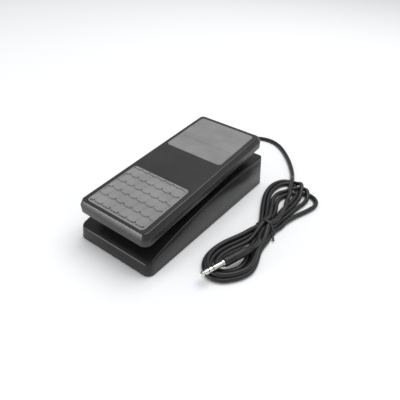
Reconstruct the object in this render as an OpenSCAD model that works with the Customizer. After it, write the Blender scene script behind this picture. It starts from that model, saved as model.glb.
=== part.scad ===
// Rocking foot pedal: a treadle on a cross axle turns a potentiometer through
// a gear sector. +Z is up, +Y points to the toe end, +X is the right-hand side
// seen from the heel. The origin is the middle of the footprint, on the floor.

/* [Base] */
// Length of the base on its underside
base_l = 250; // [240:1:260]
// Width of the base on its underside
base_w = 110; // [106:1:114]
// Height of the deck edge at the heel
heel_h = 16; // [14:0.5:18]
// Rise of the deck from the heel to the toe
deck_rise = 29; // [27:0.5:30]
// Wall thickness of the base casting
wall = 2.5; // [2:0.1:3]
// Height of the rubber feet below the base
foot_h = 1; // [1:0.1:1.5]

/* [Treadle] */
// Length of the top face of the treadle
tread_l = 233; // [230:1:235]
// Width of the top face of the treadle
tread_w = 98.2; // [96:0.2:100]
// Depth of the treadle from its top face to its lower rim
tread_h = 15.5; // [14:0.5:16]
// Slope of the treadle at rest, in degrees
tread_slope = 5.65; // [5:0.05:6]
// Length of the rubber pad under the heel
pad_l = 79; // [70:1:85]
// Length of the plate under the toe
plate_l = 81; // [70:1:85]

/* [Mechanism] */
// Height of the treadle axle above the floor
axle_z = 30; // [29:0.5:31]
// Gear module of the sector and the pinion
gear_module = 1; // [1:1:1]
// Teeth on a full circle of the sector
sector_teeth = 60; // [60:12:60]
// Teeth on the pinion
pinion_teeth = 12; // [12:1:12]

/* [Cord] */
// Diameter of the cord
cord_d = 6; // [5.6:0.1:6.2]

/* [Hidden] */
$fn = 48;

slack = 0.02;                       // radial clearance of a fixed screw or pin
draft = 0.1;                        // inward lean of the base walls, per mm of height
base_r = 8.7;                       // corner radius of the base
deck_steps = 22;                    // straight pieces in the deck curve
draft_h = 46;                       // height over which the drafted block is built

plate_t = 2;                        // steel bottom plate
plate_top = foot_h + plate_t;
plate_screws = [[-44, -108], [44, -108], [-45, -42], [45, -42], [-44, 106], [44, 106]];
feet = [[-44, -94], [44, -94], [-44, 92], [44, 92]];

tread_flare = 2.1;                  // how far the lower rim stands out from the top face
tread_start = -120.3;               // heel edge of the top face, measured from the axle
tread_top = 38.74;                  // top face above the axle, square to the slope
tread_rim = tread_top - tread_h;
tread_skin = 3;
tread_r = 6.5;
cover_seat = 1;                     // depth of the shallow seats in the top face
cover_t = 2.2;                      // thickness of the pad and of the plate
pad_w = 83.6;
pad_from = 4.9;                     // heel edge of the pad, from the treadle's heel edge
cover_w = 84.6;
plate_from = 144;
cover_r = 4.5;
bumper_x = 32;
toe_bumper_y = 105;
heel_bumper_y = -100;

axle_r = 3;
bush_r = 5;
running = 0.05;                     // radial clearance of the turning fits
ear_in = 36;
ear_out = 38;
lug_in = 28.5;
lug_out = 31.5;
lug_r = 8.5;
yoke_z = 25;                        // underside of the yoke plate above the axle
yoke_t = 2;
yoke_holes = [[-20, -9], [20, -9], [-20, 9], [20, 9]];
sector_in = 24.5;
sector_holes = [13.2, 19.2];        // heights of the sector screws above the axle

mesh_angle = -15;                   // direction from the axle to the pinion
sector_pitch = gear_module * sector_teeth / 2;
pinion_pitch = gear_module * pinion_teeth / 2;
gear_gap = 0.12;                    // extra centre distance of the gears
pot_y = (sector_pitch + pinion_pitch + gear_gap) * cos(mesh_angle);
pot_z = axle_z + (sector_pitch + pinion_pitch + gear_gap) * sin(mesh_angle);
pot_r = 12;
pot_back = 0.4;
pot_front = 9.4;
pot_plate = 12;                     // far face of the upright that carries the pot
thread_r = 3.5;
thread_end = 17;

relief_x = -30;
relief_z = 16;
relief_tip = 150;                   // where the moulded strain relief ends
clamp_y = 92;
clamp_hole = 8.4;                   // screws of the clamp, either side of the cord

// The lead from the strain relief to the hank
lead_route = [[-30, 150, 16], [-30, 160, 15.6], [-30, 171, 12.8], [-30, 182, 8.6],
    [-30, 193, 4.8], [-29.5, 205, 3.1], [-28, 217, 3], [-24.5, 227, 3], [-18.5, 235, 3], [-10, 241, 3],
    [1, 244, 3], [13, 243, 3], [25, 237.5, 3], [36, 229, 3], [47, 218, 3], [58, 206, 3],
    [68, 193, 3], [77, 179.5, 3.5], [84.5, 167, 5.5], [90, 156, 8.2], [93.5, 147, 9.3]];
// The stretch inside the base, from the strain relief to the end of the jacket
inner_route = [[-30, 118, 16], [-30, 113.5, 15.9], [-30, 107.5, 12.6], [-30, 101, 8],
    [-30, 96, 6.2], [-30, 90, 6.2], [-30, 84, 6.2]];

// The last stretch, from the plug's boot back into the hank
tail_route = [[122.3, -23.4, 14.6], [123.95, -17.83, 14.6], [123, -11, 14.6],
    [121, -4.5, 14.6], [118.3, 3, 14.6], [115.6, 11, 13.5], [113.2, 19, 12.2]];

hank_waist = [113, 28];             // where the tie holds the hank
waist_turn = -10;
waist_w = 24;
waist_l = 30;
waist_floor = 1.2;
waist_h = 17.2;
near_h = 6.4;
far_h = 12.6;
tie_w = 4;
tie_t = 1;

plug_tip_at = [100.8, -96.06];
plug_z = 14.6;
plug_turn = -16.5;                  // heading of the plug, from +Y
plug_l = 31.75;
sleeve_r = 3.175;
sleeve_l = 14.75;
groove_l = 1;
ring_l = 5;
barrel_r = 5.8;
barrel_l = 34;
boot_l = 10;

// Height of the deck edge at y
function deck_z(y) = let (u = (base_l / 2 - y) / base_l)
    heel_h + deck_rise * pow(1 - pow(min(u, 1), 2.03), 0.77);

// y of deck point i, crowded together at the steep heel end
function deck_y(i) = -base_l / 2 + base_l * pow(i / deck_steps, 2);

// Outline with round corners, from squares and circles
module round_rect(w, l, r) {
    square([w - 2 * r, l], center = true);
    square([w, l - 2 * r], center = true);
    for (x = [-1, 1], y = [-1, 1])
        translate([x * (w / 2 - r), y * (l / 2 - r)]) circle(r);
}

// A 2D shape drawn in (y, z) and made solid from x0 to x1
module across(x0, x1) translate([x0, 0, 0]) rotate([90, 0, 90]) linear_extrude(x1 - x0)
    children();

// A round rod along X from x0 to x1 at (y, z)
module x_rod(x0, x1, r, y = 0, z = 0) translate([x0, y, z]) rotate([0, 90, 0])
    cylinder(r = r, h = x1 - x0);

// A ring along X
module x_ring(x0, x1, r, hole, y = 0, z = 0) difference() {
    x_rod(x0, x1, r, y, z);
    x_rod(x0 - 1, x1 + 1, hole, y, z);
}

// The treadle's own frame: the axle is its origin, the top face is level
module on_treadle() translate([0, 0, axle_z]) rotate([tread_slope, 0, 0]) children();

// A pan-head screw that points down, with its head seated at z
module pan_screw(x, y, z, r, l) translate([x, y, z]) {
    translate([0, 0, -l]) cylinder(r = r, h = l);
    difference() {
        cylinder(r = 1.8 * r, h = 1.15 * r);
        for (a = [0, 90]) rotate(a)
            translate([-r, -0.2 * r, 0.5 * r]) cube([2 * r, 0.4 * r, 2 * r]);
    }
}

// A block w by l at its foot whose round corners and walls all lean inward
module leaning_block(w, l, h, r, lean) hull()
    for (x = [-1, 1], y = [-1, 1]) translate([x * (w / 2 - r), y * (l / 2 - r)])
        cylinder(r1 = r, r2 = r - lean, h = h, $fn = 32);

// The drafted body of the base, pulled in by inset on every side
module drafted_block(inset, z0) translate([0, 0, z0])
    leaning_block(base_w - 2 * inset, base_l - 2 * inset, draft_h, base_r - inset,
        draft * draft_h);

// Everything under the deck line, lowered by drop
module under_deck(drop) across(-base_w, base_w) polygon(concat(
    [[-base_l, 0], [-base_l, heel_h - drop]],
    [for (i = [0 : deck_steps]) [deck_y(i), deck_z(deck_y(i)) - drop]],
    [[base_l, heel_h + deck_rise - drop], [base_l, 0]]));

module base_shell() color("#2b2b2d") difference() {
    union() {
        difference() {
            intersection() {
                drafted_block(0, foot_h);
                under_deck(0);
            }
            intersection() {
                drafted_block(wall, foot_h - 0.01);
                under_deck(wall);
            }
        }
        intersection() {
            for (p = plate_screws)
                translate([p[0], p[1], plate_top]) cylinder(r = 4, h = 40);
            under_deck(1);
            drafted_block(1, foot_h);
        }
    }
    translate([-41, -20, heel_h]) cube([82, 50, 40]);
    for (p = plate_screws) translate([p[0], p[1], 0]) cylinder(r = 1.5 + slack, h = 13);
    translate([relief_x, base_l / 2 - 12, relief_z]) rotate([-90, 0, 0])
        cylinder(r = 5, h = 20);
}

module bottom_plate() color("#4a4b4e") difference() {
    translate([0, 0, foot_h]) linear_extrude(plate_t)
        round_rect(base_w - 2 * wall - 0.8, base_l - 2 * wall - 0.8, base_r - wall);
    for (p = plate_screws) translate([p[0], p[1], foot_h - 0.01]) {
        cylinder(r = 1.7, h = 9);
        cylinder(r1 = 3.5, r2 = 1.6, h = 1.9);
    }
    for (p = feet) translate([p[0], p[1], 0]) cylinder(r = 2 + slack, h = 9);
    for (x = [-30, 30], y = [-10, 10]) translate([x, y, 0]) cylinder(r = 2 + slack, h = 9);
    for (y = [-5, 5]) translate([21, pot_y + y, 0]) cylinder(r = 1.5 + slack, h = 9);
    for (x = [-clamp_hole, clamp_hole]) translate([relief_x + x, clamp_y, 0])
        cylinder(r = 1.5 + slack, h = 9);
}

module bottom_screws() color("#8d8f92") for (p = plate_screws)
    translate([p[0], p[1], foot_h]) difference() {
        union() {
            cylinder(r1 = 3.3, r2 = 1.5, h = 1.8);
            cylinder(r = 1.5, h = 11);
        }
        for (a = [0, 90]) rotate(a) translate([-1.6, -0.3, -1]) cube([3.2, 0.6, 2]);
    }

module rubber_feet() color("#1c1c1d") for (p = feet) translate([p[0], p[1], 0]) {
    cylinder(r = 7, h = foot_h);
    cylinder(r = 2, h = plate_top + 1.6);
    translate([0, 0, plate_top + 0.05]) cylinder(r1 = 2.9, r2 = 2, h = 1.6);
}

module pivot_bracket() color("#9a9c9f") difference() {
    union() {
        translate([-ear_out, -15, plate_top]) cube([2 * ear_out, 30, 2]);
        for (s = [-1, 1]) across(min(s * ear_in, s * ear_out), max(s * ear_in, s * ear_out)) {
            translate([-10, plate_top]) square([20, 10]);
            translate([-7, plate_top]) square([14, axle_z - plate_top]);
            translate([0, axle_z]) circle(7);
        }
    }
    x_rod(-50, 50, axle_r + slack, 0, axle_z);
    for (x = [-30, 30], y = [-10, 10]) translate([x, y, 0]) cylinder(r = 2.2, h = 9);
}

module bracket_screws() color("#8d8f92") for (x = [-30, 30], y = [-10, 10])
    pan_screw(x, y, plate_top + 2, 2, 3.8);

module pivot_axle() color("#b5b7ba") translate([0, 0, axle_z]) {
    x_rod(-38.1, 38.1, axle_r);
    x_rod(-39, 39, axle_r - 0.5);
    for (x = [-40, 38.9]) x_rod(x, x + 1.1, axle_r);
}

module axle_clips() color("#77797c") translate([0, 0, axle_z]) for (x = [-38.85, 38.15])
    difference() {
        x_ring(x, x + 0.7, 5.5, axle_r - 0.5 + slack);
        translate([x - 1, -1.6, -7]) cube([3, 3.2, 7]);
    }

module friction_washers() color("#b08d57") for (x = [-35.9, 33.05])
    x_ring(x, x + 2.85, 7, axle_r + 0.1, 0, axle_z);

module pot_bracket() color("#9a9c9f") difference() {
    union() {
        translate([pot_plate - 2, pot_y - 9, plate_top]) cube([16, 18, 2]);
        across(pot_plate - 2, pot_plate) {
            translate([pot_y - 9, plate_top]) square([18, pot_z - plate_top]);
            translate([pot_y, pot_z]) circle(9);
        }
    }
    x_rod(0, 30, thread_r + slack, pot_y, pot_z);
    for (y = [-5, 5]) translate([21, pot_y + y, 0]) cylinder(r = 1.7, h = 9);
}

module pot_bracket_screws() color("#8d8f92") for (y = [-5, 5])
    pan_screw(21, pot_y + y, plate_top + 2, 1.5, 3.8);

module pot_can() color("#a9abae") difference() {
    union() {
        x_rod(pot_back, pot_front, pot_r, pot_y, pot_z);
        x_rod(pot_front, thread_end, thread_r, pot_y, pot_z);
    }
    x_rod(pot_back + 1, pot_front - 1, pot_r - 1, pot_y, pot_z);
    x_rod(0, thread_end + 1, axle_r + running, pot_y, pot_z);
    translate([6.7, pot_y + 8, pot_z - 8]) cube([1.8, 8, 16]);
    translate([pot_front - 0.6, pot_y - 20, pot_z - 20]) cube([0.6 + slack, 9.2, 40]);
}

module pot_track() color("#7c5a34") difference() {
    union() {
        x_rod(6.8, 8.38, 10.5, pot_y, pot_z);
        translate([6.8, pot_y, pot_z - 7.5]) cube([1.58, 17, 15]);
    }
    x_rod(6, 9, 4.5, pot_y, pot_z);
}

module pot_terminals() color("#c9b27a") for (z = [-5, 0, 5])
    translate([8.38, pot_y + 13, pot_z + z - 1]) cube([0.5, 7, 2]);

module pot_washer() color("#b5b7ba")
    x_ring(pot_plate, pot_plate + 0.6, 6.5, thread_r + 0.1, pot_y, pot_z);

module pot_nut() color("#b5b7ba") difference() {
    translate([pot_plate + 0.6, pot_y, pot_z]) rotate([0, 90, 0])
        cylinder(r = 5.8, h = 2.2, $fn = 6);
    x_rod(0, 30, thread_r + slack, pot_y, pot_z);
}

module cord_clamp() color("#b5b7ba") translate([relief_x, clamp_y, plate_top])
    difference() {
        translate([0, 4, 0]) rotate([90, 0, 0]) linear_extrude(8) {
            difference() {
                translate([0, 3.2]) circle(5);
                translate([0, 3.2]) circle(cord_d / 2 + 0.1);
                translate([-6, -6]) square([12, 9.2]);
            }
            for (x = [-11, 3.1]) translate([x, 0]) square([7.9, 1.5]);
            for (x = [-5, 3.1]) translate([x, 0]) square([1.9, 3.2]);
        }
        for (x = [-clamp_hole, clamp_hole]) translate([x, 0, -1]) cylinder(r = 1.6, h = 5);
    }

module clamp_screws() color("#8d8f92") for (x = [-clamp_hole, clamp_hole])
    pan_screw(relief_x + x, clamp_y, plate_top + 1.5, 1.5, 3.3);

// Unit vector along v
function unit(v) = v / norm(v);

// Direction of a route at point i
function heading(route, i) =
    unit(route[min(i + 1, len(route) - 1)] - route[max(i - 1, 0)]);

// A tube of one polyhedron: a ring of sides points at every point of the route
module tube(route, r, sides) {
    n = len(route);
    points = [for (i = [0 : n - 1])
        let (t = heading(route, i), s = unit(cross([0, 0, 1], t)), u = cross(t, s))
            for (k = [0 : sides - 1])
                route[i] + r * (cos(360 * (k + 0.5) / sides) * s
                    + sin(360 * (k + 0.5) / sides) * u)];
    walls = [for (i = [0 : n - 2], k = [0 : sides - 1])
        let (a = i * sides + k, b = i * sides + (k + 1) % sides)
            each [[a, b, b + sides], [a, b + sides, a + sides]]];
    start = [for (k = [1 : sides - 2]) [0, k + 1, k]];
    stop = [for (k = [1 : sides - 2]) [0, k, k + 1] + (n - 1) * sides * [1, 1, 1]];
    polyhedron(points, [for (f = concat(walls, start, stop)) [f[2], f[1], f[0]]]);
}

module inner_cord() color("#1c1c1d") tube(inner_route, cord_d / 2 - 0.05, 12);

// Three insulated wires from the end of the jacket to the terminals
module lead_wires() color("#a03028") for (k = [-1, 0, 1]) tube([
    [-30 + 1.6 * k, 83.9, 6.2], [-29 + 2 * k, 76, 6.4 + abs(k)], [-24 + 2.5 * k, 68, 8 + k],
    [-14 + 2 * k, 64, 11 + 2 * k], [-3 + k, 62, 15 + 3 * k], [5, 60, 18.6 + 4 * k],
    [9.7, 57.5, pot_z + 5 * k], [9.7, 53, pot_z + 5 * k]], 0.75, 8);

module strain_relief() color("#1c1c1d") translate([relief_x, 0, relief_z])
    rotate([-90, 0, 0]) rotate_extrude() polygon([[0, 118], [7, 118], [7, 120], [4.9, 120],
        [4.9, 124.5], [7, 124.5], [7, 127], [5.6, 128], [3.6, relief_tip], [0, relief_tip]]);

// The flared body of the treadle between two heights, pulled in by inset
module flared_block(inset, z0, z1) {
    slope = tread_flare / tread_h;
    grow = slope * (tread_top - z0) - inset;
    translate([0, tread_start + tread_l / 2, z0])
        leaning_block(tread_w + 2 * grow, tread_l + 2 * grow, z1 - z0, tread_r + grow,
            slope * (z1 - z0));
}

// A cover that starts at y (from the treadle's heel edge), between two heights
module cover_slab(y, w, l, r, z0, z1)
    translate([0, tread_start + y + l / 2, z0]) linear_extrude(z1 - z0)
        round_rect(w, l, r);

module treadle_shell() color("#3a3a3c") on_treadle() difference() {
    union() {
        difference() {
            flared_block(0, tread_rim, tread_top);
            flared_block(tread_skin, tread_rim - 1, tread_top - tread_skin);
        }
        for (p = yoke_holes) translate([p[0], p[1], yoke_z + yoke_t])
            cylinder(r = 4.5, h = tread_top - yoke_z - yoke_t - 2);
        for (x = [-bumper_x, bumper_x], y = [heel_bumper_y, toe_bumper_y])
            translate([x, y, tread_rim]) cylinder(r = 5.5, h = tread_h - 2);
        for (x = [-20, 20]) translate([x - 1, -112, 31]) cube([2, 216, 6]);
        for (y = [-60, 60]) translate([-48, y - 1, 31]) cube([96, 2, 6]);
    }
    translate([0, 0, tread_top - cover_seat]) {
        cover_slab(pad_from, pad_w + 0.2, pad_l + 0.2, cover_r, 0, 9);
        cover_slab(plate_from, cover_w + 0.2, plate_l + 0.2, cover_r, 0, 9);
    }
    for (p = yoke_holes) translate([p[0], p[1], yoke_z]) cylinder(r = 2 + slack, h = 10);
}

module heel_pad() color("#8f8d8d") on_treadle() translate([0, 0.1, tread_top])
    cover_slab(pad_from, pad_w, pad_l, cover_r, -cover_seat, cover_t - cover_seat);

module toe_plate() color("#8f8d8d") on_treadle() translate([0, 0.1, tread_top])
    cover_slab(plate_from, cover_w, plate_l, cover_r, -cover_seat, cover_t - cover_seat);

module bumper_pair(y, l) on_treadle() for (x = [-bumper_x, bumper_x])
    translate([x, y, tread_rim - l]) cylinder(r = 5, h = l);

module toe_bumpers() color("#1c1c1d") bumper_pair(toe_bumper_y, 2.8);

module heel_bumpers() color("#1c1c1d") bumper_pair(heel_bumper_y, 2.4);

module hinge_yoke() color("#9a9c9f") on_treadle() difference() {
    union() {
        translate([-35, -14, yoke_z]) cube([70, 28, yoke_t]);
        for (x = [-lug_out, lug_in]) across(x, x + lug_out - lug_in) {
            circle(lug_r);
            translate([-lug_r, 0]) square([2 * lug_r, yoke_z]);
        }
    }
    x_rod(-50, 50, bush_r + slack);
    for (z = sector_holes) x_rod(20, 40, 1.5 + slack, 0, z);
    for (p = yoke_holes) translate([p[0], p[1], 0]) cylinder(r = 2.2, h = 40);
}

module yoke_screws() color("#8d8f92") on_treadle() for (p = yoke_holes)
    translate([p[0], p[1], yoke_z]) rotate([180, 0, 0]) pan_screw(0, 0, 0, 2, 8);

module axle_bushes() color("#d9d5c8") on_treadle() for (s = [0, 1]) mirror([s, 0, 0])
    difference() {
        union() {
            x_rod(sector_in, lug_out + 0.5, bush_r);
            x_rod(lug_out, lug_out + 1.45, 7);
        }
        x_rod(0, 50, axle_r + running);
    }

// Involute of a pressure angle, in degrees
function involute(a) = tan(a) * 180 / PI - a;

// Half the angle that a tooth fills at radius r
function tooth_half(r, pitch, teeth, play) =
    let (flank = pitch * cos(20), a = r > flank ? acos(flank / r) : 0)
        90 / teeth - play + involute(20) - involute(a);

// Outline of one tooth whose middle points along angle a
function tooth_points(a, pitch, teeth, root, tip, play) =
    let (radii = [for (k = [0 : 4]) root + (tip - root) * k / 4])
        concat(
            [for (k = [0 : 4]) let (h = a - tooth_half(radii[k], pitch, teeth, play))
                radii[k] * [cos(h), sin(h)]],
            [for (k = [4 : -1 : 0]) let (h = a + tooth_half(radii[k], pitch, teeth, play))
                radii[k] * [cos(h), sin(h)]]);

module drive_sector() color("#d9d5c8") on_treadle() across(sector_in, lug_in) difference() {
    union() {
        polygon(concat([[0, 0]], [for (k = [-4 : 3])
            each tooth_points(mesh_angle - tread_slope + (k + 0.5) * 360 / sector_teeth,
                sector_pitch, sector_teeth, sector_pitch - 1.2, sector_pitch + 0.8, 0.09)]));
        circle(lug_r);
        translate([-6, 0]) square([12, 22.5]);
    }
    circle(bush_r + slack);
    for (z = sector_holes) translate([0, z]) circle(1.6);
}

module sector_screws() color("#8d8f92") on_treadle() for (z = sector_holes)
    translate([sector_in, 0, z]) rotate([0, -90, 0]) pan_screw(0, 0, 0, 1.5, 6.8);

module pot_shaft() color("#b5b7ba") difference() {
    x_rod(4.6, 29, axle_r, pot_y, pot_z);
    translate([27.5, pot_y - 0.5, pot_z - 5]) cube([5, 1, 10]);
}

module pot_wiper() color("#c9b27a") difference() {
    union() {
        x_rod(4.8, 6.4, 5, pot_y, pot_z);
        translate([4.8, pot_y - 9.6, pot_z - 1.5]) cube([1.6, 6, 3]);
    }
    x_rod(0, 9, axle_r + slack, pot_y, pot_z);
}

module pinion_gear() color("#d9d5c8") difference() {
    union() {
        translate([0, pot_y, pot_z]) across(24, 29) polygon([for (k = [0 : pinion_teeth - 1])
            each tooth_points(mesh_angle + 180 + k * 360 / pinion_teeth, pinion_pitch,
                pinion_teeth, pinion_pitch - 1.25, pinion_pitch + 0.8, 1)]);
        x_rod(18, 24, 5, pot_y, pot_z);
    }
    x_rod(0, 50, axle_r + slack, pot_y, pot_z);
    translate([21, pot_y, pot_z]) cylinder(r = 1.25, h = 9);
}

module pinion_setscrew() color("#77797c") translate([21, pot_y, pot_z + axle_r]) difference() {
    cylinder(r = 1.25 - slack, h = 2.4);
    translate([0, 0, 1.4]) cylinder(r = 0.7, h = 4, $fn = 6);
}

module cord_lead() color("#2e2e30") tube(lead_route, cord_d / 2, 10);

// A lobe of the hank: round at its end and narrow at the waist. Each of ends
// is a round corner: [x, y, radius].
module lobe(from, w, ends, h) linear_extrude(h) hull() {
    translate(from) square([w, 4], center = true);
    for (p = ends) translate([p[0], p[1]]) circle(p[2], $fn = 32);
}

module cord_hank() color("#2e2e30") {
    lobe([109.5, 15], 22, [[103, -62, 23], [114, -60, 21.5], [117, -55, 18.5]], near_h);
    lobe([115, 42], 22, [[98, 128, 28], [106, 129, 26], [131, 118, 15.5], [92, 94, 20]], far_h);
    translate(hank_waist) rotate(waist_turn) translate([-waist_w / 2, -waist_l / 2, waist_floor])
        cube([waist_w, waist_l, waist_h - waist_floor]);
}

module cord_tail() color("#2e2e30") tube(tail_route, cord_d / 2, 10);

module twist_tie() color("#1c1c1d") translate(hank_waist) rotate(waist_turn) {
    difference() {
        translate([-waist_w / 2 - tie_t, -tie_w / 2, 0])
            cube([waist_w + 2 * tie_t, tie_w, waist_h + tie_t]);
        translate([-waist_w / 2 - 0.05, -tie_w, waist_floor - 0.05])
            cube([waist_w + 0.1, 2 * tie_w, waist_h - waist_floor + 0.1]);
    }
    translate([waist_w / 2 + 0.6, 0, 5]) rotate([90, 0, 30]) cylinder(r = 1.2, h = 12);
}

// The plug's own frame: z runs from the tip back to the cord
module on_plug() translate([plug_tip_at[0], plug_tip_at[1], plug_z]) rotate([-90, 0, 0])
    rotate([0, -plug_turn, 0]) children();

module plug_tip() color("#d9d9d6") on_plug() rotate_extrude() polygon([[0, 0], [0.9, 0.1],
    [3.05, 2.7], [3.15, 3.5], [2.35, 5], [2.35, 5.8], [sleeve_r, 8.2], [sleeve_r, 10], [0, 10]]);

module plug_ring() color("#d9d9d6") on_plug()
    translate([0, 0, 10 + groove_l]) cylinder(r = sleeve_r, h = ring_l);

module plug_insulators() color("#1c1c1d") on_plug() for (z = [10, 10 + groove_l + ring_l])
    translate([0, 0, z]) cylinder(r = sleeve_r, h = groove_l);

module plug_sleeve() color("#d9d9d6") on_plug()
    translate([0, 0, plug_l - sleeve_l]) cylinder(r = sleeve_r, h = sleeve_l);

module plug_barrel() color("#1c1c1d") on_plug() translate([0, 0, plug_l])
    rotate_extrude() polygon([[0, 0], [4.9, 0], [barrel_r, 0.9], [barrel_r, barrel_l - 1],
        [barrel_r - 0.8, barrel_l], [0, barrel_l]]);

module plug_boot() color("#1c1c1d") on_plug() translate([0, 0, plug_l + barrel_l])
    rotate_extrude() polygon([[0, 0], [4.9, 0], [3.5, boot_l], [0, boot_l]]);

base_shell();
bottom_plate();
bottom_screws();
rubber_feet();
pivot_bracket();
bracket_screws();
pivot_axle();
axle_clips();
friction_washers();
pot_bracket();
pot_bracket_screws();
pot_can();
pot_track();
pot_terminals();
pot_washer();
pot_nut();
cord_clamp();
clamp_screws();
inner_cord();
lead_wires();
strain_relief();
treadle_shell();
heel_pad();
toe_plate();
toe_bumpers();
heel_bumpers();
hinge_yoke();
yoke_screws();
axle_bushes();
drive_sector();
sector_screws();
pot_shaft();
pot_wiper();
pinion_gear();
pinion_setscrew();
cord_lead();
cord_hank();
cord_tail();
twist_tie();
plug_boot();
plug_barrel();
plug_sleeve();
plug_insulators();
plug_ring();
plug_tip();
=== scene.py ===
"""Looks of the rocking foot pedal: every shell, pad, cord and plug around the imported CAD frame."""

import math

import bmesh
import bpy
from mathutils import Matrix, Vector


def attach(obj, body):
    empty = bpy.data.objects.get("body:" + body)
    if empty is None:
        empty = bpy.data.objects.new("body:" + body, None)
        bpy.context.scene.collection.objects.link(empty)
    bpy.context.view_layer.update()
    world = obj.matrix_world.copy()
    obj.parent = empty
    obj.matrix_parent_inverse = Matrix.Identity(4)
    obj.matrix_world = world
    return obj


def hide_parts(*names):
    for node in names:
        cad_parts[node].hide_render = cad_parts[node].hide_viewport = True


MM = 0.001
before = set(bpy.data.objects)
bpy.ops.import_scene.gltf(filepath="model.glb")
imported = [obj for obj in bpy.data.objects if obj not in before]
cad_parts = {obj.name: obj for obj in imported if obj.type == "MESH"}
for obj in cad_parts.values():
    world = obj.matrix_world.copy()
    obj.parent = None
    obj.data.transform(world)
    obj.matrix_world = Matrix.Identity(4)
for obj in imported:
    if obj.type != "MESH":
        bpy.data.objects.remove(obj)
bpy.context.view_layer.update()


# ---------------------------------------------------------------- camera

cam_data = bpy.data.cameras.new("camera")
cam_data.sensor_width = 36.0
cam_data.lens = 36.45
camera = bpy.data.objects.new("camera", cam_data)
bpy.context.scene.collection.objects.link(camera)
camera.matrix_world = Matrix((
    (0.80743, -0.38796, 0.44445, 0.25901),
    (0.58699, 0.45289, -0.67107, -0.34599),
    (0.05907, 0.80273, 0.59341, 0.33032),
    (0.0, 0.0, 0.0, 1.0)))
bpy.context.scene.camera = camera


# ---------------------------------------------------------------- sizes, in mm, as in part.scad

BASE_L = 250.0
HEEL_H = 16.0                  # height of the deck edge at the heel
DECK_RISE = 29.0
DECK_POWERS = (2.03, 0.77)     # shape of the deck curve
BASE_FOOT = 1.0                # height of the walls' lower rim
BASE_ROUND = 1.8               # rounding of the deck edge
BASE_HALF = (46.3, 116.3)      # centres of the base's corner rounds
BASE_R = 8.7
DRAFT = 0.1
WALL = 2.4                     # of the base
TREAD_SKIN = 3.0
DECK_OPENING = (41.0, -20.0, 30.0)

TREAD_MID = -3.8               # middle of the treadle's top face, from the axle
TREAD_HALF = (42.6, 110.0)
TREAD_TOP = 38.74
TREAD_RIM = 23.24
AXLE_Z = 30.0
SLOPE = math.radians(5.65)

PAD = (0.0, -75.7, 83.6, 79.0)     # x, y of the middle, width, length, on the treadle
PLATE = (0.0, 64.3, 84.6, 81.0)
COVER_R = 4.5                      # corner radius of both covers
SEAT = 1.0                         # depth of their seats in the treadle
PROUD = 1.2                        # how far they stand above it
SEAT_GAP, SEAT_CORNER = 0.1, 4.6   # clearance round a cover, and the seat's corner radius

WAIST = Vector((113.0, 28.0, 0.0))
WAIST_TURN = math.radians(-10.0)
PLUG_TIP = Vector((100.8, -96.06, 14.6))
PLUG_HEADING = math.radians(16.5)
CORD_R = 3.0
RELIEF = Vector((-30.0, 118.0, 16.0))


def treadle_point(x, y, z):
    """A point of the treadle's own frame, in metres in the shared frame."""
    return Vector((x, y * math.cos(SLOPE) - z * math.sin(SLOPE),
                   AXLE_Z + y * math.sin(SLOPE) + z * math.cos(SLOPE))) * MM


def deck_z(y):
    """Height of the base's deck edge at y."""
    u = min(0.5 - y / BASE_L, 1.0)
    return HEEL_H + DECK_RISE * (1.0 - u ** DECK_POWERS[0]) ** DECK_POWERS[1]


# ---------------------------------------------------------------- materials

def node_tree(name):
    """A new material, its node tree, its shader and its object coordinates."""
    mat = bpy.data.materials.new(name)
    mat.use_nodes = True
    tree = mat.node_tree
    shader = tree.nodes["Principled BSDF"]
    coords = tree.nodes.new("ShaderNodeTexCoord").outputs["Object"]
    return mat, tree, shader, coords


def noise_of(tree, coords, scale, detail=4.0, stretch=None):
    """Output of a noise texture whose scale is in grains per metre."""
    if stretch:
        mapping = tree.nodes.new("ShaderNodeMapping")
        mapping.inputs["Scale"].default_value = stretch
        tree.links.new(coords, mapping.inputs["Vector"])
        coords = mapping.outputs["Vector"]
    tex = tree.nodes.new("ShaderNodeTexNoise")
    tex.inputs["Scale"].default_value = scale
    tex.inputs["Detail"].default_value = detail
    tree.links.new(coords, tex.inputs["Vector"])
    return tex.outputs["Fac"]


def between(tree, fac, low, high, start=0.35, stop=0.65):
    """fac spread over low to high; a number or a colour."""
    if isinstance(low, tuple):
        ramp = tree.nodes.new("ShaderNodeValToRGB")
        ramp.color_ramp.elements[0].position, ramp.color_ramp.elements[1].position = start, stop
        ramp.color_ramp.elements[0].color = (*low, 1.0)
        ramp.color_ramp.elements[1].color = (*high, 1.0)
        tree.links.new(fac, ramp.inputs["Fac"])
        return ramp.outputs["Color"]
    spread = tree.nodes.new("ShaderNodeMapRange")
    for socket, value in zip(("From Min", "From Max", "To Min", "To Max"), (start, stop, low, high)):
        spread.inputs[socket].default_value = value
    tree.links.new(fac, spread.inputs["Value"])
    return spread.outputs["Result"]


def bump(tree, shader, fac, strength, distance, under=None):
    """Adds fac to the shader's bump, on top of another bump node if under is given."""
    node = tree.nodes.new("ShaderNodeBump")
    node.inputs["Strength"].default_value = strength
    node.inputs["Distance"].default_value = distance
    tree.links.new(fac, node.inputs["Height"])
    if under:
        tree.links.new(under.outputs["Normal"], node.inputs["Normal"])
    tree.links.new(node.outputs["Normal"], shader.inputs["Normal"])
    return node


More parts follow.
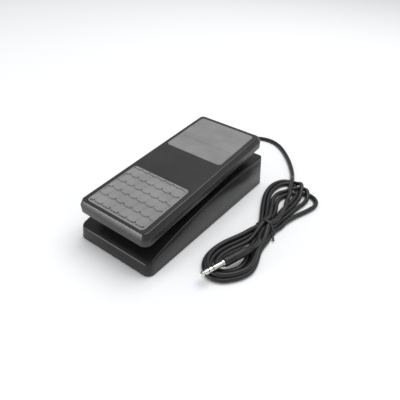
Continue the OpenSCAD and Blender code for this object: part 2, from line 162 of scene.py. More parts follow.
def surface(name, dark, light, rough, grain, depth, blotch=45.0, metal=0.0, stretch=None,
            specular=0.5, sheen=0.0):
    """A material with blotchy colour, uneven gloss and a fine grain of that many per metre."""
    mat, tree, shader, coords = node_tree(name)
    shader.inputs["Metallic"].default_value = metal
    shader.inputs["Specular IOR Level"].default_value = specular
    shader.inputs["Sheen Weight"].default_value = sheen
    wide = noise_of(tree, coords, blotch)
    fine = noise_of(tree, coords, grain, 2.0, stretch)
    tree.links.new(between(tree, wide, dark, light), shader.inputs["Base Color"])
    tree.links.new(between(tree, fine, rough[0], rough[1]), shader.inputs["Roughness"])
    under = bump(tree, shader, wide, 0.1, 0.0004)
    bump(tree, shader, fine, 0.5, depth, under)
    return mat


MATS = {
    "base_paint": surface("base_paint", (0.008, 0.008, 0.0085), (0.012, 0.0115, 0.012),
                          (0.24, 0.34), 1500, 0.00005, specular=0.3),
    "treadle_paint": surface("treadle_paint", (0.011, 0.011, 0.0115), (0.017, 0.0165, 0.017),
                             (0.22, 0.32), 1500, 0.00005),
    "pad_rubber": surface("pad_rubber", (0.205, 0.200, 0.199), (0.245, 0.238, 0.236),
                          (0.62, 0.78), 1300, 0.00010, sheen=0.1),
    "plate_rubber": surface("plate_rubber", (0.190, 0.184, 0.184), (0.225, 0.218, 0.217),
                            (0.55, 0.70), 1400, 0.00008),
    "zinc_steel": surface("zinc_steel", (0.42, 0.43, 0.44), (0.58, 0.58, 0.57),
                          (0.28, 0.45), 900, 0.00004, metal=1.0),
    "screw_steel": surface("screw_steel", (0.35, 0.35, 0.36), (0.50, 0.50, 0.50),
                           (0.22, 0.36), 1400, 0.00003, metal=1.0),
    "bright_steel": surface("bright_steel", (0.58, 0.58, 0.58), (0.70, 0.70, 0.69),
                            (0.16, 0.30), 900, 0.00002, metal=1.0, stretch=(0.05, 1.0, 1.0)),
    "black_rubber": surface("black_rubber", (0.018, 0.018, 0.019), (0.030, 0.030, 0.030),
                            (0.55, 0.75), 1200, 0.00008),
    "bronze": surface("bronze", (0.45, 0.28, 0.12), (0.62, 0.42, 0.20),
                      (0.25, 0.42), 1000, 0.00003, metal=1.0),
    "white_nylon": surface("white_nylon", (0.62, 0.59, 0.50), (0.72, 0.69, 0.61),
                           (0.35, 0.50), 900, 0.00005),
    "phenolic": surface("phenolic", (0.16, 0.08, 0.03), (0.25, 0.13, 0.06),
                        (0.40, 0.60), 1200, 0.00005, stretch=(1.0, 0.2, 1.0)),
    "contact_brass": surface("contact_brass", (0.60, 0.46, 0.20), (0.72, 0.57, 0.28),
                             (0.20, 0.34), 1200, 0.00002, metal=1.0),
    "cord_jacket": surface("cord_jacket", (0.010, 0.010, 0.011), (0.016, 0.0155, 0.0165),
                           (0.34, 0.46), 1600, 0.00005, blotch=30.0, specular=0.38),
    "wire_insulation": surface("wire_insulation", (0.35, 0.03, 0.02), (0.48, 0.06, 0.04),
                               (0.30, 0.45), 1500, 0.00003),
    "tie_plastic": surface("tie_plastic", (0.010, 0.010, 0.011), (0.018, 0.018, 0.018),
                           (0.35, 0.50), 1500, 0.00004),
    "black_plastic": surface("black_plastic", (0.012, 0.012, 0.013), (0.019, 0.0185, 0.0195),
                             (0.26, 0.40), 1500, 0.00004, specular=0.4),
    "plug_metal": surface("plug_metal", (0.66, 0.62, 0.56), (0.80, 0.77, 0.72),
                          (0.12, 0.24), 2200, 0.00002, metal=1.0),
}


# ---------------------------------------------------------------- making pieces

def finish_mesh(bm, name, slot, body, replaced, sharp=38.0):
    """Turns a bmesh into a piece with shading, material and body, and hides the CAD nodes it stands for."""
    bmesh.ops.remove_doubles(bm, verts=bm.verts, dist=1e-6)
    bmesh.ops.recalc_face_normals(bm, faces=bm.faces)
    limit = math.radians(sharp)
    for edge in bm.edges:
        edge.smooth = len(edge.link_faces) == 2 and edge.calc_face_angle(0.0) < limit
    for face in bm.faces:
        face.smooth = True
    mesh = bpy.data.meshes.new(name)
    bm.to_mesh(mesh)
    bm.free()
    piece = bpy.data.objects.new(name, mesh)
    bpy.context.scene.collection.objects.link(piece)
    return dress(piece, slot, body, replaced)


def dress(piece, slot, body, replaced):
    """Gives a piece the material of its slot, puts it on its body and hides the CAD nodes it replaces."""
    piece.data.materials.clear()
    piece.data.materials.append(MATS[slot])
    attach(piece, body)
    if replaced:
        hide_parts(*replaced)
    return piece


def rounded_half(half, ys=(), steps=8):
    """The right half of a rounded rectangle from heel to toe, as (corner centre or side point, normal)."""
    cx, cy = half
    points = [((cx, -cy), (math.cos(a), math.sin(a)))
              for a in (math.radians(-90 + 90 * i / steps) for i in range(steps + 1))]
    points += [((cx, y), (1.0, 0.0)) for y in ys]
    points += [((cx, cy), (math.cos(a), math.sin(a)))
               for a in (math.radians(90 * i / steps) for i in range(steps + 1))]
    return points


def ring(bm, half_loop, place):
    """Vertices of one closed ring: the right half, then its mirror image back to the heel."""
    right = [bm.verts.new(place(c[0], c[1], n[0], n[1])) for c, n in half_loop]
    left = [bm.verts.new(place(-c[0], c[1], -n[0], n[1])) for c, n in half_loop]
    return right, left


def skin(bm, lower, upper):
    """Faces between two rings."""
    a, b = lower[0] + lower[1][::-1], upper[0] + upper[1][::-1]
    for i in range(len(a)):
        j = (i + 1) % len(a)
        bm.faces.new((a[i], a[j], b[j], b[i]))


def ladder(bm, rims, hole=None):
    """Fills a ring with rungs from side to side. hole is (x, y0, y1, z(y)): an opening left in it."""
    right, left = rims
    ys = [v.co.y / MM for v in right]
    edge = {}
    if hole:
        for k, y in enumerate(ys):
            if hole[1] - 0.01 <= y <= hole[2] + 0.01:
                edge[k] = [bm.verts.new((s * hole[0] * MM, y * MM, hole[3](y) * MM)) for s in (-1, 1)]
    for k in range(len(right) - 1):
        row = [left[k], right[k]]
        if k in edge and k + 1 in edge:
            bm.faces.new((left[k], edge[k][0], edge[k + 1][0], left[k + 1]))
            bm.faces.new((edge[k][1], right[k], right[k + 1], edge[k + 1][1]))
        elif k in edge:
            bm.faces.new((left[k], edge[k][0], edge[k][1], right[k], right[k + 1], left[k + 1]))
        elif k + 1 in edge:
            bm.faces.new((left[k], right[k], right[k + 1], edge[k + 1][1], edge[k + 1][0], left[k + 1]))
        else:
            bm.faces.new(row + [right[k + 1], left[k + 1]])


def lathe(name, profile, origin, direction, slot, body, replaced=(), turns=40, sharp=38.0):
    """A turned piece: profile is [(distance along, radius)] in mm from origin."""
    bm = bmesh.new()
    turn = direction.to_track_quat("Z", "Y").to_matrix()
    rings = []
    for along, radius in profile:
        spots = [(2 * math.pi * k / turns) for k in range(turns)]
        rings.append([bm.verts.new((origin + turn @ Vector((
            radius * math.cos(a), radius * math.sin(a), along))) * MM) for a in spots])
    for a, b in zip(rings, rings[1:]):
        for k in range(turns):
            bm.faces.new((a[k], a[(k + 1) % turns], b[(k + 1) % turns], b[k]))
    bm.faces.new(rings[0][::-1])
    bm.faces.new(rings[-1])
    return finish_mesh(bm, name, slot, body, replaced, sharp)


def smooth_path(points, pieces):
    """Catmull-Rom curve through the points, with that many pieces between two of them."""
    path = []
    for i in range(len(points) - 1):
        p0, p1 = points[max(i - 1, 0)], points[i]
        p2, p3 = points[i + 1], points[min(i + 2, len(points) - 1)]
        for k in range(pieces):
            t = k / pieces
            path.append(0.5 * (2 * p1 + (p2 - p0) * t + (2 * p0 - 5 * p1 + 4 * p2 - p3) * t * t
                               + (3 * p1 - p0 - 3 * p2 + p3) * t ** 3))
    return path + [points[-1]]


def rod_curve(name, path, radius, slot, body, replaced=()):
    """A round rod along a path, as one open spline."""
    data = bpy.data.curves.new(name, "CURVE")
    data.dimensions = "3D"
    data.bevel_depth = radius * MM
    data.bevel_resolution = 5
    data.use_fill_caps = True
    spline = data.splines.new("POLY")
    spline.points.add(len(path) - 1)
    for point, p in zip(spline.points, path):
        point.co = (*(p * MM), 1.0)
    spline.use_smooth = True
    piece = bpy.data.objects.new(name, data)
    bpy.context.scene.collection.objects.link(piece)
    return dress(piece, slot, body, replaced)


# ---------------------------------------------------------------- base

SIDE_YS = [-112, -107, -101, -94, -86, -77, -67, -56, -44, -32, -20, -4, 13, 30, 47, 64, 80, 94, 104, 111]


def base_piece():
    """The drafted base casting: walls, a rounded edge along the deck line, the deck and its opening."""
    loop = rounded_half(BASE_HALF, SIDE_YS)

    def at(inset, drop):
        def place(cx, cy, nx, ny):
            y = cy
            for _ in range(3):
                z = deck_z(y) - drop
                reach = BASE_R - DRAFT * (z - BASE_FOOT) - inset
                y = cy + ny * reach
            return Vector((cx + nx * reach, y, z)) * MM
        return place

    def foot(inset, z):
        reach = BASE_R - DRAFT * z - inset
        return lambda cx, cy, nx, ny: Vector((cx + nx * reach, cy + ny * reach, BASE_FOOT + z)) * MM

    bm = bmesh.new()
    rims = [ring(bm, loop, foot(0.4, 0.0)), ring(bm, loop, foot(0.0, 0.5))]
    for a in (0, 18, 36, 54, 72, 90):
        turn = math.radians(a)
        rims.append(ring(bm, loop, at(BASE_ROUND * (1 - math.cos(turn)), BASE_ROUND * (1 - math.sin(turn)))))
    for lower, upper in zip(rims, rims[1:]):
        skin(bm, lower, upper)
    ladder(bm, rims[-1], (*DECK_OPENING, deck_z))
    piece = finish_mesh(bm, "base_cover", "base_paint", "base", ["base_shell"], 42.0)
    thickness = piece.modifiers.new("wall", "SOLIDIFY")
    thickness.thickness = WALL * MM
    thickness.offset = -1.0
    return piece


# ---------------------------------------------------------------- treadle


def treadle_piece():
    """The treadle moulding: a vertical skirt, a sloping shoulder, a small round and the flat top."""
    loop = rounded_half(TREAD_HALF, [-90, -60, -30, 0, 30, 60, 90])
    profile = [(8.2, TREAD_RIM), (8.6, TREAD_RIM + 0.4), (8.6, 31.7), (8.52, 32.1), (8.3, 32.6), (5.55, 37.9),
               (5.3, 38.25), (4.95, 38.55), (4.5, 38.7), (4.0, TREAD_TOP)]
    bm = bmesh.new()
    rims = [ring(bm, loop, lambda cx, cy, nx, ny, r=r, z=z: treadle_point(
        cx + nx * r, TREAD_MID + cy + ny * r, z)) for r, z in profile]
    for lower, upper in zip(rims, rims[1:]):
        skin(bm, lower, upper)
    ladder(bm, rims[-1])
    piece = finish_mesh(bm, "treadle_cover", "treadle_paint", "treadle", ["treadle_shell"], 30.0)
    thickness = piece.modifiers.new("wall", "SOLIDIFY")
    thickness.thickness = TREAD_SKIN * MM
    thickness.offset = -1.0
    cutters = [seat_cutter(place) for place in (PAD, PLATE)]
    for cutter in cutters:
        cut = piece.modifiers.new("seat", "BOOLEAN")
        cut.operation, cut.solver, cut.object = "DIFFERENCE", "EXACT", cutter
    whole = bpy.data.meshes.new_from_object(piece.evaluated_get(bpy.context.evaluated_depsgraph_get()))
    piece.modifiers.clear()
    piece.data = whole
    whole.set_sharp_from_angle(angle=math.radians(30.0))
    for cutter in cutters:
        bpy.data.objects.remove(cutter)
    return piece


def seat_cutter(place):
    """A block the size of a pad's seat, to take out of the treadle's top."""
    mid_x, mid_y, width, length = place
    reach, corner = SEAT_GAP - SEAT_CORNER, SEAT_CORNER
    points = []
    for quarter in range(4):
        sx, sy = ((1, 1), (-1, 1), (-1, -1), (1, -1))[quarter]
        for step in range(7):
            turn = math.radians(90 * quarter + 15 * step)
            points.append((mid_x + sx * (width / 2 + reach) + corner * math.cos(turn),
                           mid_y + sy * (length / 2 + reach) + corner * math.sin(turn)))
    bm = bmesh.new()
    low, high = ([bm.verts.new(treadle_point(x, y, z)) for x, y in points]
                 for z in (TREAD_TOP - SEAT, TREAD_TOP + 3.0))
    bm.faces.new(low[::-1])
    bm.faces.new(high)
    for k in range(len(points)):
        n = (k + 1) % len(points)
        bm.faces.new((low[k], low[n], high[n], high[k]))
    data = bpy.data.meshes.new("seat_block")
    bm.to_mesh(data)
    bm.free()
    cutter = bpy.data.objects.new("seat_block", data)
    bpy.context.scene.collection.objects.link(cutter)
    return cutter


def slab_grid(size, step, corner):
    """Grid points of a rounded rectangle about its middle; outer corners are pulled in to the round."""
    half_w, half_l = size[0] / 2, size[1] / 2
    nx, ny = round(size[0] / step), round(size[1] / step)
    rows = []
    for j in range(ny + 1):
        row = []
        for i in range(nx + 1):
            x, y = -half_w + size[0] * i / nx, -half_l + size[1] * j / ny
            cx, cy = half_w - corner, half_l - corner
            if abs(x) > cx and abs(y) > cy:
                dx, dy = abs(x) - cx, abs(y) - cy
                far = max(dx, dy) / math.hypot(dx, dy)
                x, y = math.copysign(cx + dx * far, x), math.copysign(cy + dy * far, y)
            row.append((x, y))
        rows.append(row)
    return rows


def relief_slab(name, place, step, height, slot, nodes):
    """A slab on the treadle whose top follows height(x, y, distance from its edge)."""
    mid_x, mid_y, width, length = place
    bm = bmesh.new()
    grid = slab_grid((width, length), step, COVER_R)
    verts = []
    for row in grid:
        line = []
        for x, y in row:
            inside = edge_distance(x, y, width / 2, length / 2, COVER_R)
            z = TREAD_TOP + PROUD - height(x, y, inside)
            line.append(bm.verts.new(treadle_point(mid_x + x, mid_y + y, z)))
        verts.append(line)
    for j in range(len(verts) - 1):
        for i in range(len(verts[0]) - 1):
            bm.faces.new((verts[j][i], verts[j][i + 1], verts[j + 1][i + 1], verts[j + 1][i]))
    rim = verts[0] + [r[-1] for r in verts[1:-1]] + verts[-1][::-1] + [r[0] for r in verts[-2:0:-1]]
    flat = grid[0] + [r[-1] for r in grid[1:-1]] + grid[-1][::-1] + [r[0] for r in grid[-2:0:-1]]
    under = [bm.verts.new(treadle_point(mid_x + x, mid_y + y, TREAD_TOP - SEAT)) for x, y in flat]
    for k in range(len(rim)):
        n = (k + 1) % len(rim)
        bm.faces.new((rim[n], rim[k], under[k], under[n]))
    bm.faces.new(under)
    return finish_mesh(bm, name, slot, "treadle", nodes, 60.0)


def edge_distance(x, y, half_w, half_l, corner):
    """How far a point lies inside a rounded rectangle's edge."""
    dx, dy = abs(x) - (half_w - corner), abs(y) - (half_l - corner)
    if dx > 0 and dy > 0:
        return corner - math.hypot(dx, dy)
    return corner - max(dx, dy)


def rounded_edge(inside, r):
    """Drop of a rounded edge of radius r, that far inside it."""
    return 0.0 if inside >= r else r - math.sqrt(max(r * r - (r - inside) ** 2, 0.0))


TONGUE_PITCH = 12.15           # across the pad
TONGUE_ROW = 14.4              # along the pad
TONGUE_END = 3.4               # depth of a tongue's rounded end
TONGUE_FALL = 2.20             # how far a tongue drops over its length
TONGUE_TILT = 0.30             # how far each side is above or below its middle
TONGUE_LENGTH = 30.0
FIRST_TONGUE = -36.0            # tips of the first row, from the pad's middle
ROW_SHIFT = (-4.1, 2.0)         # sideways start of even and odd rows
GROOVE_W, GROOVE_D = 0.8, 0.65  # the groove at the foot of each tongue's end
PAD_FLOOR = 2.0                 # the lowest the pad's face goes


def tongue_top(x, y):
    """Height below the highest point of the overlapping tongues at a point of the heel pad."""
    drop, groove = PAD_FLOOR, 0.0
    for row in range(-1, 7):
        end = FIRST_TONGUE + row * TONGUE_ROW
        shift = ROW_SHIFT[row % 2]
        k = round((x - shift) / TONGUE_PITCH)
        across = (x - shift - k * TONGUE_PITCH) / (TONGUE_PITCH / 2)
        start = end + TONGUE_END * (1 - max(1 - abs(across) ** 3.4, 0.0) ** 0.5)
        if y >= start:
            fall = TONGUE_FALL * (y - end) / TONGUE_LENGTH + TONGUE_TILT * (1 - across)
            drop, groove = min(drop, fall), 0.0
        elif y > start - GROOVE_W:
            groove = GROOVE_D
    return min(drop + groove, PAD_FLOOR)


def pad_height(x, y, inside):
    """Drop of the heel pad: tongues inside a narrow plain rim."""
    if inside < 1.7:
        return 0.45 + rounded_edge(inside, 0.5)
    groove = 0.35 * max(0.0, 1 - abs(inside - 2.1) / 0.5)
    return tongue_top(x, y) + groove


def plate_height(x, y, inside):
    """Drop of the toe plate: a soft edge and one shallow channel from side to side."""
    channel = 0.0
    if abs(x) < 38.5:
        channel = 0.8 * max(0.0, 1 - (abs(y + 11.3) / 1.2) ** 2) * min(1.0, (38.5 - abs(x)) / 1.0)
    return rounded_edge(inside, 0.7) + channel


# ---------------------------------------------------------------- cord, strain relief, tie and plug

# The cord's centreline, from the strain relief through the hank to the plug, in mm
CORD_ROUTE = [
    (-30.0, 150.0, 16.0), (-30.0, 161.9, 15.3), (-30.0, 173.5, 11.9), (-30.0, 184.6, 7.6),
    (-29.9, 196.1, 4.2), (-29.2, 208.0, 3.3), (-26.7, 219.6, 3.3), (-21.6, 230.2, 3.3),
    (-13.2, 238.2, 3.3), (-2.5, 242.6, 3.3), (9.2, 243.0, 3.3), (20.4, 239.5, 3.3), (30.5, 233.2, 3.3),
    (39.5, 225.4, 3.3), (48.0, 216.9, 3.3), (56.0, 208.0, 3.3), (63.6, 198.7, 3.3), (70.6, 189.0, 3.3),
    (77.2, 179.0, 3.3), (83.1, 168.9, 3.3), (87.9, 158.5, 4.3), (92.0, 147.6, 8.7), (95.8, 136.0, 7.8),
    (99.7, 124.7, 8.9), (104.9, 113.1, 7.0), (107.2, 102.3, 4.3), (110.4, 91.0, 8.0), (114.5, 79.3, 8.7),
    (116.5, 68.0, 11.3), (118.7, 55.6, 13.5), (120.2, 43.9, 13.1), (118.4, 35.0, 13.2),
    (116.8, 25.8, 13.5), (119.9, 15.1, 11.1), (122.8, 4.5, 8.4), (123.4, -6.3, 8.2), (125.5, -17.0, 8.2),
    (129.3, -28.3, 8.2), (132.1, -39.8, 8.2), (131.9, -51.4, 8.2), (127.5, -62.1, 8.2),
    (120.6, -71.8, 8.2), (111.6, -78.4, 8.2), (101.1, -78.1, 8.2), (92.6, -71.1, 8.2), (87.7, -60.5, 8.2),
    (86.5, -48.8, 8.2), (87.9, -37.0, 8.2), (91.1, -25.5, 8.2), (95.1, -14.2, 8.2), (98.8, -2.7, 8.2),
    (101.6, 9.0, 8.1), (104.6, 20.4, 7.8), (106.6, 31.9, 8.1), (104.6, 42.9, 5.9), (100.6, 53.1, 3.3),
    (95.5, 63.6, 3.3), (90.6, 74.6, 3.3), (86.1, 85.7, 3.3), (82.4, 97.1, 3.3), (80.3, 108.8, 3.3),
    (80.3, 120.8, 3.3), (82.8, 132.2, 3.3), (89.1, 140.6, 3.3), (98.1, 141.7, 3.3), (105.3, 136.9, 3.3),
    (111.7, 123.9, 3.3), (112.4, 113.0, 3.3), (113.2, 101.5, 3.3), (112.9, 89.5, 3.3), (111.9, 77.7, 3.3),
    (112.6, 65.8, 3.3), (114.4, 53.5, 3.3), (115.5, 41.3, 3.3), (116.0, 29.7, 3.3), (114.1, 18.2, 3.3),
    (114.0, 6.3, 3.3), (114.2, -5.1, 3.3), (116.0, -16.6, 3.3), (119.7, -27.9, 3.3), (122.9, -39.3, 3.3),
    (122.8, -50.6, 3.3), (117.8, -60.9, 3.3), (110.1, -68.0, 3.3), (101.7, -66.2, 3.3), (96.8, -56.6, 3.3),
    (96.3, -44.9, 3.3), (98.7, -33.2, 3.3), (102.6, -21.9, 3.3), (106.3, -10.9, 3.3), (108.4, -0.2, 4.1),
    (108.9, 10.8, 8.3), (109.0, 22.7, 12.7), (109.9, 34.5, 12.7), (108.5, 45.5, 9.6), (104.2, 56.0, 7.1),
    (100.3, 67.0, 4.0), (95.7, 77.7, 3.3), (91.6, 88.7, 3.3), (89.5, 100.3, 3.3), (90.8, 111.9, 3.3),
    (96.2, 122.2, 3.3), (103.1, 131.2, 6.2), (112.2, 137.5, 6.4), (121.0, 134.3, 8.5), (126.9, 124.7, 4.4),
    (127.9, 113.4, 3.3), (126.4, 101.6, 3.3), (124.8, 90.0, 3.3), (123.8, 78.2, 3.3), (122.7, 66.2, 3.3),
    (120.9, 54.6, 3.3), (120.7, 43.2, 5.0), (119.7, 31.2, 7.8), (119.1, 19.0, 6.3), (119.8, 7.7, 3.3),
    (120.1, -3.7, 3.3), (121.7, -14.8, 3.3), (125.5, -26.1, 3.3), (128.7, -37.6, 3.3), (129.2, -49.2, 3.3),
    (125.2, -60.1, 3.3), (118.4, -69.7, 3.3), (109.3, -75.5, 3.3), (99.5, -73.3, 3.3), (92.6, -64.5, 3.3),
    (89.9, -53.2, 3.3), (90.4, -41.3, 3.3), (93.1, -29.7, 3.3), (97.0, -18.4, 3.3), (100.8, -7.1, 3.3),
    (103.6, 4.8, 3.3), (107.2, 16.0, 3.3), (109.7, 27.4, 3.4), (109.9, 39.2, 3.3), (108.8, 51.4, 3.3),
    (107.2, 63.3, 3.3), (103.6, 74.7, 3.3), (99.1, 85.7, 3.3), (97.2, 97.2, 3.3), (99.0, 108.8, 3.3),
    (103.2, 119.0, 3.3), (113.3, 128.7, 3.3), (123.1, 133.9, 3.3), (133.2, 131.9, 3.3),
    (140.7, 124.1, 3.3), (142.3, 113.1, 3.3), (139.8, 101.5, 3.3), (136.1, 90.1, 3.3), (132.2, 78.8, 3.3),
    (129.0, 67.2, 3.3), (126.9, 55.8, 3.3), (126.2, 44.0, 3.3), (123.9, 32.1, 3.3), (123.5, 21.6, 3.3),
    (125.5, 9.7, 3.3), (126.0, -2.4, 3.3), (127.7, -13.9, 3.3), (131.4, -25.2, 3.3), (134.7, -36.7, 3.3),
    (135.5, -48.4, 3.3), (132.3, -59.5, 3.3), (126.2, -69.7, 3.3), (118.3, -78.3, 3.3),
    (108.1, -82.5, 3.3), (97.5, -79.9, 3.3), (89.4, -71.9, 3.3), (84.8, -61.2, 3.3), (83.5, -49.4, 3.3),
    (84.7, -37.6, 3.3), (87.8, -26.0, 3.3), (91.8, -14.7, 3.3), (95.5, -3.4, 3.3), (98.3, 8.1, 3.3),
    (101.1, 19.9, 3.3), (103.0, 31.0, 3.3), (99.6, 41.4, 3.3), (94.7, 51.8, 3.3), (89.6, 62.6, 3.3),
    (84.7, 73.7, 3.3), (80.1, 84.9, 3.3), (76.4, 96.2, 3.3), (74.0, 107.9, 3.3), (73.4, 119.8, 3.3),
    (75.4, 131.5, 3.3), (80.6, 141.7, 3.3), (89.7, 147.4, 3.3), (100.6, 146.5, 5.6), (109.6, 138.8, 12.0),
    (115.7, 127.3, 7.9), (118.2, 116.1, 3.5), (119.0, 104.2, 3.3), (119.2, 92.2, 3.3), (118.1, 80.3, 3.3),
    (117.7, 68.4, 5.2), (117.6, 56.6, 7.7), (116.5, 45.3, 8.6), (114.3, 33.9, 8.7), (113.3, 22.3, 8.7),
    (115.3, 10.8, 8.7), (118.0, -0.1, 10.9), (122.4, -11.6, 14.2), (122.3, -23.4, 14.6),
]


def waist_point(u, v, z):
    """A point in the tie's frame: u across the hank, v along it."""
    c, s = math.cos(WAIST_TURN), math.sin(WAIST_TURN)
    return WAIST + Vector((u * c - v * s, u * s + v * c, z))


def hull_2d(points):
    """Convex hull of 2D points, anticlockwise."""
    points = sorted(set(points))
    sides = []
    for run in (points, points[::-1]):
        side = []
        for p in run:
            while len(side) > 1 and ((side[-1][0] - side[-2][0]) * (p[1] - side[-2][1])
                                     - (side[-1][1] - side[-2][1]) * (p[0] - side[-2][0])) <= 0:
                side.pop()
            side.append(p)
        sides += side[:-1]
    return sides


TIE_REACH = CORD_R + 0.25      # from a strand's middle to the band's inside
TIE_LOWEST = 0.8               # keeps the band's outside above the floor


def tie_piece(path):
    """The twist tie: a flat band pulled round the strands of the waist, with its ends twisted together."""
    c, s = math.cos(WAIST_TURN), math.sin(WAIST_TURN)
    rim = []
    for p in path:
        d = p - WAIST
        u, v = d.x * c + d.y * s, d.y * c - d.x * s
        if abs(v) < 2.5 and abs(u) < 14:
            for turn in (math.radians(15 * k) for k in range(24)):
                z = max(p.z + TIE_REACH * math.sin(turn), TIE_LOWEST)
                rim.append((round(u + TIE_REACH * math.cos(turn), 3), round(z, 3)))
    loop = hull_2d(rim)
    bm = bmesh.new()
    rings = [[bm.verts.new(waist_point(u, v, z) * MM) for u, z in loop] for v in (-1.9, -1.4, 0.0, 1.4, 1.9)]
    for a, b in zip(rings, rings[1:]):
        for k in range(len(loop)):
            bm.faces.new((a[k], a[(k + 1) % len(loop)], b[(k + 1) % len(loop)], b[k]))
    band = finish_mesh(bm, "tie_band", "tie_plastic", "base", ["twist_tie"])
    wall = band.modifiers.new("wall", "SOLIDIFY")
    wall.thickness = 0.6 * MM
    wall.offset = 1.0
    ends = []
    for side in (0.0, math.pi):
        twist = [waist_point(10.5 + 9.5 * t + 0.6 * math.cos(side + 13 * t),
                             -2.2 - 6.5 * t + 0.6 * math.sin(side + 13 * t),
                             7.5 - 5.2 * t) for t in (k / 40 for k in range(41))]
        ends.append(rod_curve("tie_end_%d" % (1 + bool(side)), twist, 0.85, "tie_plastic", "base"))
    return [band] + ends


def ribs(start, stop, r0, r1, count, depth):
    """Profile of a ribbed, tapering sleeve."""
    profile = []
    for k in range(count):
        for f, sunk in ((0.0, 0.0), (0.55, 0.0), (0.65, 1.0), (0.95, 1.0)):
            t = (k + f) / count
            profile.append((start + (stop - start) * t, r0 + (r1 - r0) * t - depth * sunk))
    return profile + [(stop, r1)]


cord_path = smooth_path([Vector(p) for p in CORD_ROUTE], 4)
cord = rod_curve("cord", cord_path, CORD_R, "cord_jacket", "base", ["cord_lead", "cord_hank", "cord_tail"])

relief_profile = [(0.0, 7.0), (1.7, 7.0), (2.0, 6.7), (2.0, 4.9), (6.5, 4.9), (6.5, 6.4), (6.8, 6.9),
                  (8.6, 6.9), (9.2, 6.2)] + ribs(10.0, 30.5, 5.6, 3.75, 5, 0.7) + [(32.0, 3.4)]
relief = lathe("cord_relief", relief_profile, RELIEF, Vector((0, 1, 0)), "black_rubber", "base",
               ["strain_relief"])

tie = tie_piece(cord_path)

along = Vector((math.sin(PLUG_HEADING), math.cos(PLUG_HEADING), 0.0))
plug = [
    lathe("jack_tip", [(0.0, 0.5), (0.15, 1.0), (2.7, 3.0), (3.2, 3.16), (3.7, 3.1), (4.8, 2.4), (5.6, 2.3),
                       (6.4, 2.45), (8.2, 3.16), (10.0, 3.16)],
          PLUG_TIP, along, "plug_metal", "base", ["plug_tip"]),
    lathe("jack_ring", [(0.02, 3.0), (0.2, 3.17), (4.8, 3.17), (4.98, 3.0)], PLUG_TIP + along * 11.0, along,
          "plug_metal", "base", ["plug_ring"]),
    lathe("jack_insulator_1", [(0.0, 3.05), (0.5, 3.0), (1.0, 3.05)], PLUG_TIP + along * 10.0, along,
          "black_plastic", "base", ["plug_insulators"]),
    lathe("jack_insulator_2", [(0.0, 3.05), (0.5, 3.0), (1.0, 3.05)], PLUG_TIP + along * 16.0, along,
          "black_plastic", "base"),
    lathe("jack_sleeve", [(0.0, 3.0), (0.2, 3.17), (12.6, 3.17), (12.8, 4.1), (14.6, 4.1), (14.75, 3.9)],
          PLUG_TIP + along * 17.0, along, "plug_metal", "base", ["plug_sleeve"]),
    lathe("jack_barrel", [(0.0, 4.6), (0.4, 5.0), (2.0, 5.6), (2.6, 5.8)] + ribs(3.0, 15.0, 5.8, 5.8, 8, 0.3)
          + [(15.6, 5.75), (30.5, 5.5), (32.5, 5.2), (34.0, 4.6)], PLUG_TIP + along * 31.75, along,
          "black_plastic", "base", ["plug_barrel"]),
    lathe("jack_boot", [(0.0, 4.5)] + ribs(0.4, 9.4, 4.8, 3.7, 3, 0.6) + [(10.0, 3.3)],
          PLUG_TIP + along * 65.75, along, "black_rubber", "base", ["plug_boot"]),
]


# ---------------------------------------------------------------- pieces of the frame

base_piece()
treadle_piece()
relief_slab("heel_pad_tongues", PAD, 0.5, pad_height, "pad_rubber", ["heel_pad"])
relief_slab("toe_plate_slab", PLATE, 0.75, plate_height, "plate_rubber", ["toe_plate"])

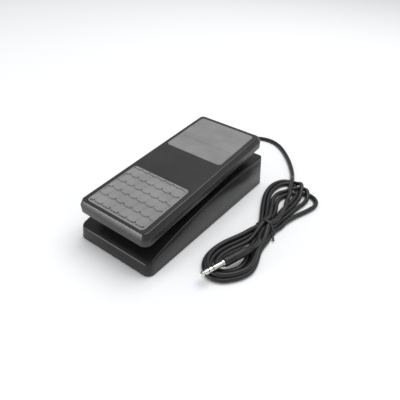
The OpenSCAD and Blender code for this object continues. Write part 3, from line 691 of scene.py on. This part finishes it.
NODE_SLOTS = {
    "bottom_plate": "base_paint", "bottom_screws": "screw_steel", "rubber_feet": "black_rubber",
    "pivot_bracket": "zinc_steel", "bracket_screws": "screw_steel", "pivot_axle": "bright_steel",
    "axle_clips": "screw_steel", "friction_washers": "bronze", "pot_bracket": "zinc_steel",
    "pot_bracket_screws": "screw_steel", "pot_can": "zinc_steel", "pot_track": "phenolic",
    "pot_terminals": "contact_brass", "pot_washer": "bright_steel", "pot_nut": "bright_steel",
    "cord_clamp": "zinc_steel", "clamp_screws": "screw_steel", "inner_cord": "cord_jacket",
    "lead_wires": "wire_insulation", "toe_bumpers": "black_rubber", "heel_bumpers": "black_rubber",
    "hinge_yoke": "zinc_steel", "yoke_screws": "screw_steel", "axle_bushes": "white_nylon",
    "drive_sector": "white_nylon", "sector_screws": "screw_steel", "pot_shaft": "bright_steel",
    "pot_wiper": "contact_brass", "pinion_gear": "white_nylon", "pinion_setscrew": "screw_steel",
}
for node_name, slot_name in NODE_SLOTS.items():
    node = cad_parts[node_name]
    node.data.materials.clear()
    node.data.materials.append(MATS[slot_name])


# ---------------------------------------------------------------- floor and light

floor_mesh = bmesh.new()
bmesh.ops.create_grid(floor_mesh, x_segments=2, y_segments=2, size=6.0)
floor_data = bpy.data.meshes.new("floor")
floor_mesh.to_mesh(floor_data)
floor_mesh.free()
floor = bpy.data.objects.new("floor", floor_data)
bpy.context.scene.collection.objects.link(floor)
floor_mat, _, floor_shader, _ = node_tree("floor_paper")
floor_shader.inputs["Base Color"].default_value = (0.90, 0.905, 0.915, 1.0)
floor_shader.inputs["Roughness"].default_value = 0.9
floor_shader.inputs["Specular IOR Level"].default_value = 0.0
floor.data.materials.append(floor_mat)


def area_light(name, at, target, width, height, power):
    """A soft rectangular light at a point, aimed at a target."""
    data = bpy.data.lights.new(name, "AREA")
    data.shape = "RECTANGLE"
    data.size, data.size_y, data.energy = width, height, power
    lamp = bpy.data.objects.new(name, data)
    bpy.context.scene.collection.objects.link(lamp)
    lamp.location = at
    lamp.rotation_mode = "QUATERNION"
    lamp.rotation_quaternion = (Vector(target) - Vector(at)).to_track_quat("-Z", "Y")


area_light("key", (-0.72, -1.5, 0.22), (0.0, -0.1, 0.05), 1.1, 0.36, 14.0)
area_light("top", (0.15, 0.55, 1.8), (0.0, 0.0, 0.0), 1.5, 1.5, 24.0)

world = bpy.data.worlds.new("studio")
world.use_nodes = True
world.node_tree.nodes["Background"].inputs["Color"].default_value = (0.98, 0.99, 1.0, 1.0)
world.node_tree.nodes["Background"].inputs["Strength"].default_value = 0.58
bpy.context.scene.world = world
bpy.context.scene.view_settings.view_transform = "Standard"
